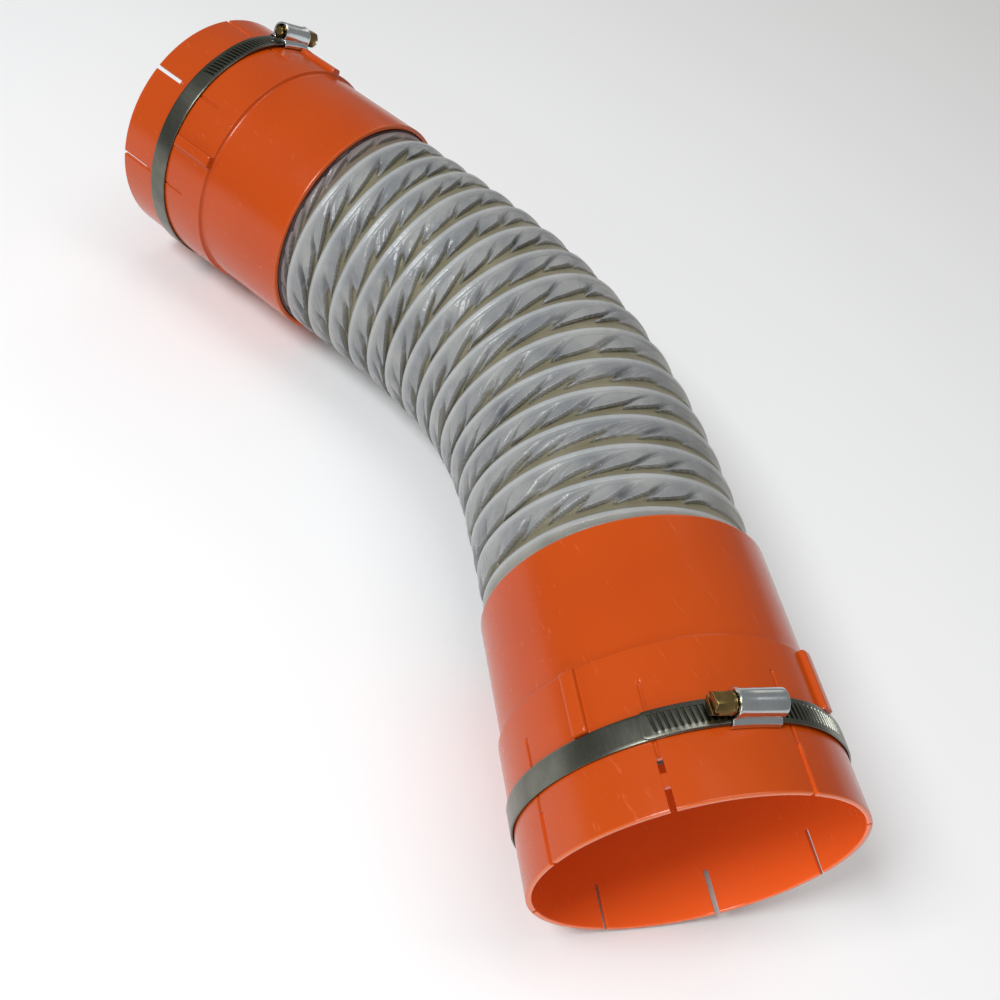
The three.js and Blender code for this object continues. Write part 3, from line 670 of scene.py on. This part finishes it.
for i in range(17):
    s0, s1 = cuts[i], cuts[i + 1]
    rows = max(8, int(round((s1 - s0) / 0.42)))
    s_rows = np.linspace(s0, s1, rows + 1)
    step = s_rows[1] - s_rows[0]
    wide = np.concatenate([[s0 - step], s_rows, [s1 + step]])
    out_w, extra_w = hose_points(wide, False)
    inn_w, _ = hose_points(wide, True)
    n_out, n_in = grid_normals(out_w)[1:-1], grid_normals(inn_w)[1:-1]
    out, inn = out_w[1:-1], inn_w[1:-1]
    outward = (on_tube(*np.meshgrid(s_rows, phi_c, indexing="ij"), 60.0 + np.zeros((rows + 1, COLS)))
               - on_tube(*np.meshgrid(s_rows, phi_c, indexing="ij"), 50.0 + np.zeros((rows + 1, COLS))))
    sign = np.sign((n_out * outward).sum(-1).mean())
    n_out = n_out * sign
    n_in = -n_in * sign
    n_rows, n_cols = rows + 1, COLS
    a = (np.arange(rows)[:, None] * n_cols + np.arange(n_cols)[None])
    b = (np.arange(rows)[:, None] * n_cols + (np.arange(n_cols)[None] + 1) % n_cols)
    c, d = b + n_cols, a + n_cols
    base = n_rows * n_cols
    quads = np.stack([a, b, c, d], -1).reshape(-1, 4)
    back_quads = np.stack([d, c, b, a], -1).reshape(-1, 4) + base
    first_row = np.arange(n_cols)
    nxt = (first_row + 1) % n_cols
    low = np.stack([first_row + base, nxt + base, nxt, first_row], -1)
    last0 = rows * n_cols
    high = np.stack([first_row + last0, nxt + last0, nxt + last0 + base, first_row + last0 + base], -1)
    quads = np.concatenate([quads, back_quads, low, high])
    points = np.concatenate([out.reshape(-1, 3), inn.reshape(-1, 3)])
    normals = np.concatenate([n_out.reshape(-1, 3), n_in.reshape(-1, 3)])
    extra = {key: np.concatenate([np.asarray(val)[1:-1].ravel()] * 2) for key, val in extra_w.items()}
    # the painted crease shade is weaker on the back of the cloth
    extra["crease_shade"][base:] *= 0.3
    name = "hose_fabric_%02d" % (i + 1)
    piece = mesh_object(name, points, quads, M_HOSE, attributes=extra, normals=normals)
    hinge = hinge_at[i]
    if bodies[i] == bodies[i + 1]:
        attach(piece, bodies[i])
    else:
        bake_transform(piece)
    if i < 16:
        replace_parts(piece, "hose_wall_%02d" % (i + 1))

    # the length of wire under this stretch of fabric
    if 0 < i < 17:
        qs = np.linspace(i, min(i + 1, 16.5), 121)
        wire_deg = -360 * (qs - i)
        wire_deg = np.where(wire_deg < -180, wire_deg + 360, wire_deg)
        if i == 16:
            qs = np.linspace(16, 16.5, 61)
            wire_deg = -360 * (qs - 16)
        ws = np.interp(qs, INDEX_C, TURNS_C)
        ring = np.linspace(0, 2 * np.pi, 11)[:-1]
        pts = []
        for sw, dw in zip(ws, wire_deg):
            t = np.clip(sw / HOSE, 0, 1)
            pts.append(on_tube(sw + 0.85 * np.sin(ring), dw * D2R + 0 * ring, 51.75 + 0.85 * np.cos(ring)))
        pts = np.array(pts)
        m, kk = pts.shape[:2]
        f = []
        for r_ in range(m - 1):
            for c_ in range(kk):
                f.append((r_ * kk + c_, r_ * kk + (c_ + 1) % kk, (r_ + 1) * kk + (c_ + 1) % kk, (r_ + 1) * kk + c_))
        f.append(tuple(range(kk))[::-1])
        f.append(tuple((m - 1) * kk + np.arange(kk)))
        wire = mesh_object("wire_coil_%02d" % i, pts, f, M_WIRE, sharp=0.9)
        if bodies[i] == bodies[i + 1]:
            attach(wire, bodies[i])
        else:
            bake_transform(wire)
        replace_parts(wire, "wire_turn_%02d" % i)


# ------------------------------------------------------------------ inside the necks
def ring_piece(name, body, profile, material, replaced, segments=180, ripple=0.0, seed=3, attributes=None):
    prof = np.array(profile, float)
    ph = np.arange(segments) * 2 * np.pi / segments
    s = prof[:, 0][:, None] + 0 * ph[None]
    r = prof[:, 1][:, None] + 0 * ph[None]
    if ripple:
        r = r + ripple * noise2(ph[None] * 9 + 0 * r, s / 2.0, seed)
        s = s + ripple * 1.5 * noise1(ph[None] * 14 + 0 * r, seed + 1)
    pts = on_tube(s, ph[None] + 0 * r, r)
    m = len(prof)
    f = []
    for i in range(m):
        for j in range(segments):
            j2 = (j + 1) % segments
            i2 = (i + 1) % m
            f.append((i * segments + j, i * segments + j2, i2 * segments + j2, i2 * segments + j))
    # the cuffs get a fixed weight of the painted khaki shade tint
    extra = {"olive_shade": 0.4, "crease_shade": 0.0, "ridge": 1.0, "around": 0.0, "brown": 0.2} if attributes else {}
    extra = {key: np.full(m * segments, val) for key, val in extra.items()}
    obj = mesh_object(name, pts, f, material, sharp=0.9, attributes=extra)
    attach(obj, body)
    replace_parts(obj, replaced)
    return obj


def cuff_profile(s0, s1, r_out, r_in, waves):
    n = 60
    ss = np.linspace(s0, s1, n)
    out = [(x, r_out - 0.25 + 0.25 * math.cos((x - s0) * 2 * math.pi / waves)) for x in ss]
    inn = [(x, r_in - 0.25 + 0.25 * math.cos((x - s0) * 2 * math.pi / waves)) for x in ss[::-1]]
    return out + inn


ring_piece("hose_end_a", "sleeve_near", cuff_profile(-45.0, -10.0, 51.4, 50.2, 7.0), M_HOSE, "hose_cuff_a", ripple=0.08, attributes=True)
ring_piece("hose_end_b", "sleeve_far", cuff_profile(HOSE + 10.0, HOSE + 45.0, 51.4, 50.2, 7.0), M_HOSE, "hose_cuff_b", ripple=0.08, attributes=True)
bead_a = [(-43, 51.9), (-43, 53.4), (-5.0, 53.4), (-4.2, 53.2), (-4.0, 52.8), (-4.2, 52.4), (-9.8, 52.3), (-9.8, 51.9)]
bead_b = [(HOSE + 43, 51.9), (HOSE + 43, 53.4), (HOSE + 1.0, 53.4), (HOSE - 0.3, 53.1), (HOSE - 0.9, 52.4),
          (HOSE - 0.6, 51.6), (HOSE + 2.8, 51.5), (HOSE + 9.6, 51.4), (HOSE + 9.8, 51.9)]
ring_piece("adhesive_bead_a", "sleeve_near", bead_a, M_GLUE, "adhesive_ring_a", ripple=0.10, seed=31)
ring_piece("adhesive_bead_b", "sleeve_far", bead_b, M_GLUE, "adhesive_ring_b", ripple=0.22, seed=37)

# ------------------------------------------------------------------ clamps
BAND_IN, BAND_LAP, BAND_T, BAND_W = 57.62, 58.52, 0.65, 9.0
SCREW_R = 62.65
THREAD_PITCH, THREAD_W, THREAD_L = 2.0, 1.05, 5.6
LENGTH, HEX_LENGTH = 16.8, 5.9


def clamp_band(name, side, at, housing_at, direction, tail_past, thread_back, body, replaced):
    start = housing_at - direction * 6
    total = 366 + tail_past
    per = D2R * (BAND_LAP + BAND_T / 2)
    pitch = THREAD_PITCH / per
    thread_end = total - 3.2
    count = int(thread_back / pitch)
    thread_start = thread_end - count * pitch
    cols = []                                # angle along the band, and whether the column is in a pressed thread groove (1) or on a land (0)
    t = 0.0
    n = int(round(thread_start / 1.5))
    cols += [(thread_start * i / n, False) for i in range(n)]
    for i in range(count):
        t = thread_start + i * pitch
        h = THREAD_W / 2 / per
        mid = t + pitch / 2
        cols += [(t, 0), (mid - h, 0), (mid - h * 0.72, 1), (mid, 1), (mid + h * 0.72, 1), (mid + h, 0)]
    cols += [(thread_end, False), (total - 2.2, False), (total - 1.6, False), (total - 1.0, False),
             (total - 0.6, False), (total - 0.3, False), (total - 0.1, False), (total, None)]
    rows = np.array([-4.5, -4.42, -4.2, -3.1, -2.95, -2.8, -2.2, 0, 2.2, 2.8, 2.95, 3.1, 4.2, 4.42, 4.5])
    tt = np.array([c[0] for c in cols])
    ni, nj = len(cols), len(rows)
    # the tail's corners are rounded
    corner = total - tt
    half = np.where(corner < 2.2, 4.5 - 2.1 * (1 - np.sqrt(np.clip(1 - ((2.2 - corner) / 2.2) ** 2, 0, 1))), 4.5)
    across = rows[None] * (half / 4.5)[:, None]
    slanted = smooth(tt, thread_start - 4, thread_start) * smooth(total - tt, 1.0, 3.5)
    along = tt[:, None] + slanted[:, None] * math.tan(10 * D2R) * across / per
    lap = smooth(along, 322, 346)
    r_in = BAND_IN + (BAND_LAP - BAND_IN) * lap
    crown = 0.05 * (1 - (rows / 4.5) ** 2)
    soft = np.interp(np.abs(rows), [4.2, 4.42, 4.5], [0.0, 0.06, 0.17])
    r_out = r_in + BAND_T + crown[None] - soft[None]
    r_in = r_in + soft[None] * 0.6
    tip = np.interp(corner, [0, 0.1, 0.3], [0.12, 0.03, 0.0])
    r_out = r_out - tip[:, None]
    solid = np.ones((ni - 1, nj - 1), bool)
    # threads pressed into the band, with a low rounded land between them
    groove = np.array([1.0 if c[1] == 1 and c[1] is not False else 0.0 for c in cols])
    land = np.array([1.0 if (c[1] == 0 and c[1] is not False) else 0.0 for c in cols])
    mid_rows = np.interp(np.abs(rows), [2.2, 2.8, 2.95], [1.0, 0.9, 0.0])
    r_out = r_out - 0.40 * groove[:, None] * mid_rows[None]
    r_out = r_out + 0.10 * land[:, None] * np.interp(np.abs(rows), [2.2, 2.95, 3.1], [1.0, 0.5, 0.0])[None]
    # a shallow step along both borders
    r_out = r_out + 0.05 * np.interp(np.abs(rows), [3.1, 4.2], [0.0, 1.0])[None]
    # weights for the dark thread grooves, partly dirt and partly painted shade
    groove_dirt_and_shade = groove[:, None] * mid_rows[None] + 0 * r_out
    angle = (start + direction * along) * D2R
    s0 = (0.0 if side < 0 else HOSE) + side * (SLEEVE_LENGTH - at)

    def place(_, __, r):
        return on_tube(s0 - side * across * 1.0, angle, r)

    points, faces, used = cells(tt, rows, r_out, r_in, solid, place, False)
    obj = mesh_object(name, points, faces, M_BAND, sharp=0.7, attributes=dict(groove_dirt_and_shade=cell_values(groove_dirt_and_shade, used)))
    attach(obj, body)
    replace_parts(obj, replaced)
    return obj


clamp_band("clamp_strap_a", -1, 26.0, 2.25, -1, 34.5, 91.3, "sleeve_near", "clamp_band_a")
clamp_band("clamp_strap_b", 1, 25.0, 23.0, 1, 29, 79.5, "sleeve_far", "clamp_band_b")


def screw_frame(side, at, angle, head_side):
    """Matrix whose X points away from the sleeve, Z along the screw toward its head."""
    s0 = (0.0 if side < 0 else HOSE) + side * (SLEEVE_LENGTH - at)
    a = angle * D2R
    one = lambda s, p, r: Vector(on_tube(np.array([s]), np.array([p]), np.array([r]))[0])
    o = one(s0, a, SCREW_R)
    x = (one(s0, a, SCREW_R + 10) - o).normalized()
    z = (one(s0, a + 1e-3, SCREW_R) - o)
    z = (z - x * z.dot(x)).normalized() * head_side
    y = z.cross(x)
    m = Matrix((x, y, z)).transposed().to_4x4()
    m.translation = o
    return m


def prism(section, z0, z1, taper=None):
    """Closed outline of [x, y] pulled from z0 to z1."""
    n = len(section)
    pts = [(x, y, z0) for x, y in section] + [(x, y, z1) for x, y in section]
    f = [tuple(range(n))[::-1], tuple(range(n, 2 * n))]
    f += [(i, (i + 1) % n, n + (i + 1) % n, n + i) for i in range(n)]
    return np.array(pts, float), f


def lathe(profile, n=40):
    """Closed profile of (z, r) turned round Z."""
    pts, f = [], []
    m = len(profile)
    for k in range(n):
        a = 2 * math.pi * k / n
        pts += [(r * math.cos(a), r * math.sin(a), z) for z, r in profile]
    for k in range(n):
        for j in range(m):
            j2 = (j + 1) % m
            k2 = (k + 1) % n
            f.append((k * m + j, k * m + j2, k2 * m + j2, k2 * m + j))
    return np.array(pts, float), f


def clamp_housing(name, mat, body, replaced, length=LENGTH):
    base = 57.55 - SCREW_R
    half = 5.7
    leg = BAND_W / 2 + 0.3
    top = BAND_LAP + BAND_T + 0.35 - SCREW_R
    R_O, R_I = 4.5, 3.6
    n = 28
    sec = [(base, -half), (base + 1.2, -half), (base + 2.1, -half + 0.25)]
    for i in range(n + 1):
        a = (-118 + 236 * i / n) * D2R
        sec.append((R_O * math.cos(a), R_O * math.sin(a)))
    sec += [(base + 2.1, half - 0.25), (base + 1.2, half), (base, half), (base, leg), (top, leg)]
    a0 = math.acos(top / R_I)
    for i in range(n + 1):
        a = a0 - 2 * a0 * i / n
        sec.append((R_I * math.cos(a), R_I * math.sin(a)))
    sec += [(top, -leg), (base, -leg)]
    # stations along the barrel: slightly flared and rolled at both ends
    zs = [-length / 2, -length / 2 + 0.35, -length / 2 + 1.0, -length / 2 + 2.2, -2, 2,
          length / 2 - 2.2, length / 2 - 1.0, length / 2 - 0.35, length / 2]
    k_out = [0.965, 0.99, 1.0, 1.0, 1.0, 1.0, 1.0, 1.045, 1.075, 1.06]
    sec = np.array(sec)
    m = len(sec)
    outer = np.zeros(m, bool)
    outer[3:3 + n + 1] = True
    pts = []
    for z, k in zip(zs, k_out):
        p = sec.copy()
        p[outer] *= k
        pts.append(np.concatenate([p, np.full((m, 1), z)], 1))
    pts = np.concatenate(pts)
    f = []
    for r_ in range(len(zs) - 1):
        for c_ in range(m):
            f.append((r_ * m + c_, r_ * m + (c_ + 1) % m, (r_ + 1) * m + (c_ + 1) % m, (r_ + 1) * m + c_))
    f.append(tuple(range(m))[::-1])
    f.append(tuple((len(zs) - 1) * m + np.arange(m)))
    # the feet follow the round of the sleeve
    r_axis = SCREW_R + pts[:, 0]
    foot = pts[:, 0] < base + 1.5
    lift = np.sqrt(np.maximum(r_axis ** 2 - pts[:, 2] ** 2, 0)) - r_axis
    sag = -pts[:, 2] ** 2 / (2 * 60.0)
    blend_w = smooth(-pts[:, 0], -2.0, 4.0)
    pts[:, 0] += sag * blend_w * 0.9 + 0.0
    world = np.array([mat @ Vector(p * MM) for p in pts])
    obj = mesh_object(name, world, f, M_ZINC, sharp=0.7)
    obj = bevel(obj, 0.16, 2, 0.7)
    obj.data.shade_smooth()
    obj.data.set_sharp_from_angle(angle=0.9)
    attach(obj, body)
    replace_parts(obj, replaced)
    return obj


def clamp_screw(name, mat, body, replaced, length=LENGTH):
    parts = []
    col = length / 2 + 0.25
    head = col + 1.25
    # worm with its thread
    n, m = 32, 130
    z0, z1 = -length / 2 + 1.1, length / 2 - 1.1
    zz = np.linspace(z0, z1, m)
    th = np.arange(n) * 2 * np.pi / n
    Z, T = np.meshgrid(zz, th, indexing="ij")
    ph = ((Z - z0) / THREAD_PITCH - T / (2 * np.pi)) % 1.0
    wave = smooth(ph, 0.05, 0.3) * (1 - smooth(ph, 0.55, 0.8))
    run = smooth(Z, z0, z0 + 0.8) * (1 - smooth(Z, z1 - 0.8, z1))
    Rr = 2.35 + 0.75 * wave * run
    pts = np.stack([Rr * np.cos(T), Rr * np.sin(T), Z], -1).reshape(-1, 3)
    f = [(a * n + b, a * n + (b + 1) % n, (a + 1) * n + (b + 1) % n, (a + 1) * n + b) for a in range(m - 1) for b in range(n)]
    f.append(tuple(range(n))[::-1]); f.append(tuple((m - 1) * n + np.arange(n)))
    parts.append((pts, f))
    # shank, pilot and collar in one turned piece, open at nothing: it closes on the axis
    prof = [(-length / 2 - 1.3, 0.001), (-length / 2 - 1.3, 1.7), (-length / 2 - 0.9, 2.15), (z0 + 0.1, 2.2), (z1 - 0.1, 2.2),
            (col, 2.4), (col, 3.45), (col + 0.2, 3.7), (head - 0.2, 3.7), (head, 3.45), (head + 0.05, 0.001)]
    n = 40
    pts, f = [], []
    for k in range(n):
        a = 2 * math.pi * k / n
        pts += [(r * math.cos(a), r * math.sin(a), z) for z, r in prof]
    mm = len(prof)
    for k in range(n):
        k2 = (k + 1) % n
        for j in range(mm - 1):
            f.append((k * mm + j, k * mm + j + 1, k2 * mm + j + 1, k2 * mm + j))
    f.append(tuple(k * mm for k in range(n))); f.append(tuple(k * mm + mm - 1 for k in range(n))[::-1])
    parts.append((np.array(pts), f))
    # hexagon head with a slot across its face: two half hexagons above a whole one
    AFh = 3.5
    corner = AFh / math.cos(math.pi / 6)
    hexa = [(corner * math.cos(math.pi / 3 * k + math.pi / 6), corner * math.sin(math.pi / 3 * k + math.pi / 6)) for k in range(6)]
    parts.append(("hex", hexa, head, head + HEX_LENGTH))
    verts, faces, off = [], [], 0
    for p in parts:
        if p[0] is not None and isinstance(p[0], str):
            continue
        verts.append(np.asarray(p[0])); faces += [tuple(np.array(x) + off) for x in p[1]]; off += len(p[0])
    world = np.array([mat @ Vector(v * MM) for v in np.concatenate(verts)])
    obj = mesh_object(name, world, faces, M_BRASS, sharp=0.6, flip=False)
    bm = bmesh.new(); bm.from_mesh(obj.data); bmesh.ops.recalc_face_normals(bm, faces=bm.faces[:]); bm.to_mesh(obj.data); bm.free()
    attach(obj, body)
    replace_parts(obj, replaced)
    _, hexa, h0, h1 = parts[-1]
    pts, f = prism(hexa, h0 - 0.1, h1)
    world = np.array([mat @ Vector(v * MM) for v in pts])
    hx = mesh_object(name + "_head", world, f, M_BRASS, sharp=0.6)
    # cutter for the slot, and a turned cutter that rounds the corners of the face
    slot_pts, slot_f = prism([(-0.62, -6), (0.62, -6), (0.62, 6), (-0.62, 6)], h1 - 1.7, h1 + 2)
    sw = np.array([mat @ Vector(v * MM) for v in slot_pts])
    cutter = mesh_object(name + "_cutter", sw, slot_f, M_BRASS)
    dome = [(h0 - 1, 0.001), (h0 - 1, corner + 0.5), (h1 - 1.0, corner + 0.5), (h1 + 0.05, corner - 0.75), (h1 + 0.06, 0.001)]
    n = 40
    pts, f = [], []
    for k in range(n):
        a = 2 * math.pi * k / n
        pts += [(r * math.cos(a), r * math.sin(a), z) for z, r in dome]
    mm = len(dome)
    for k in range(n):
        k2 = (k + 1) % n
        for j in range(mm - 1):
            f.append((k * mm + j, k * mm + j + 1, k2 * mm + j + 1, k2 * mm + j))
    f.append(tuple(k * mm for k in range(n))); f.append(tuple(k * mm + mm - 1 for k in range(n))[::-1])
    dw = np.array([mat @ Vector(v * MM) for v in np.array(pts)])
    rounder = mesh_object(name + "_rounder", dw, f, M_BRASS)
    for other, op in ((rounder, "INTERSECT"), (cutter, "DIFFERENCE")):
        mod = hx.modifiers.new("cut", "BOOLEAN")
        mod.operation = op
        mod.object = other
        mod.solver = "EXACT"
        applied(hx)
        bpy.data.objects.remove(other)
    bevel(hx, 0.14, 2, 0.5)
    hx.data.shade_smooth()
    hx.data.set_sharp_from_angle(angle=0.7)
    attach(hx, body)
    return obj


mat_a = screw_frame(-1, 26.0, 2.25, -1)
mat_b = screw_frame(1, 25.0, 23.0, 1)
clamp_housing("clamp_cover_a", mat_a, "sleeve_near", "clamp_housing_a")
clamp_housing("clamp_cover_b", mat_b, "sleeve_far", "clamp_housing_b")
clamp_screw("clamp_worm_a", mat_a, "screw_near", "clamp_screw_a")
clamp_screw("clamp_worm_b", mat_b, "screw_far", "clamp_screw_b")

# ------------------------------------------------------------------ floor, lights, world
floor_z = float(cad_box[0].z) - 0.0003
m, nt, b = new_material("pale_floor")
fl = noise_node(nt, coordinates(nt, (3, 3, 3)), 1.0, 2.0)
nt.links.new(mixed(nt, fl.outputs["Fac"], (0.90, 0.90, 0.90, 1), (0.94, 0.94, 0.94, 1)), b.inputs["Base Color"])
b.inputs["Roughness"].default_value = 0.75
floor_mesh = bpy.data.meshes.new("floor")
floor_mesh.from_pydata([(-6, -6, floor_z), (6, -6, floor_z), (6, 6, floor_z), (-6, 6, floor_z)], [], [(0, 1, 2, 3)])
floor_mesh.materials.append(m)
floor = bpy.data.objects.new("floor", floor_mesh)
scene.collection.objects.link(floor)

world = bpy.data.worlds.new("studio")
scene.world = world
world.use_nodes = True
wn = world.node_tree.nodes["Background"]
wn.inputs["Color"].default_value = (1.0, 1.0, 1.0, 1)
wn.inputs["Strength"].default_value = 0.26


def area(name, at, target, size, power, colour=(1, 1, 1), shape="RECTANGLE", size_y=None):
    light = bpy.data.lights.new(name, "AREA")
    light.shape = shape
    light.size = size
    light.size_y = size_y or size
    light.energy = power
    light.color = colour
    o = bpy.data.objects.new(name, light)
    scene.collection.objects.link(o)
    d = Vector(target) - Vector(at)
    o.location = at
    o.rotation_mode = "QUATERNION"
    o.rotation_quaternion = d.to_track_quat("-Z", "Y")
    return o


area("key", (-0.05, -0.95, 1.3), (0.0, 0.0, 0.05), 0.50, 17.2, (0.95, 0.975, 1.0))
area("mouth", (0.62, -0.42, 0.34), (0.17, -0.05, 0.05), 0.35, 1.1, (1.0, 0.98, 0.96))
area("warm", (-0.9, 1.0, 0.9), (0.0, 0.0, 0.05), 0.8, 1.6, (1.0, 0.93, 0.82))
area("top", (0.15, 0.2, 1.6), (0.0, 0.0, 0.05), 0.30, 5.0, (1.0, 1.0, 1.0), size_y=1.2)

scene.view_settings.view_transform = "Standard"
scene.view_settings.look = "None"
scene.view_settings.exposure = 0.0
scene.view_settings.gamma = 1.0

bpy.context.view_layer.update()
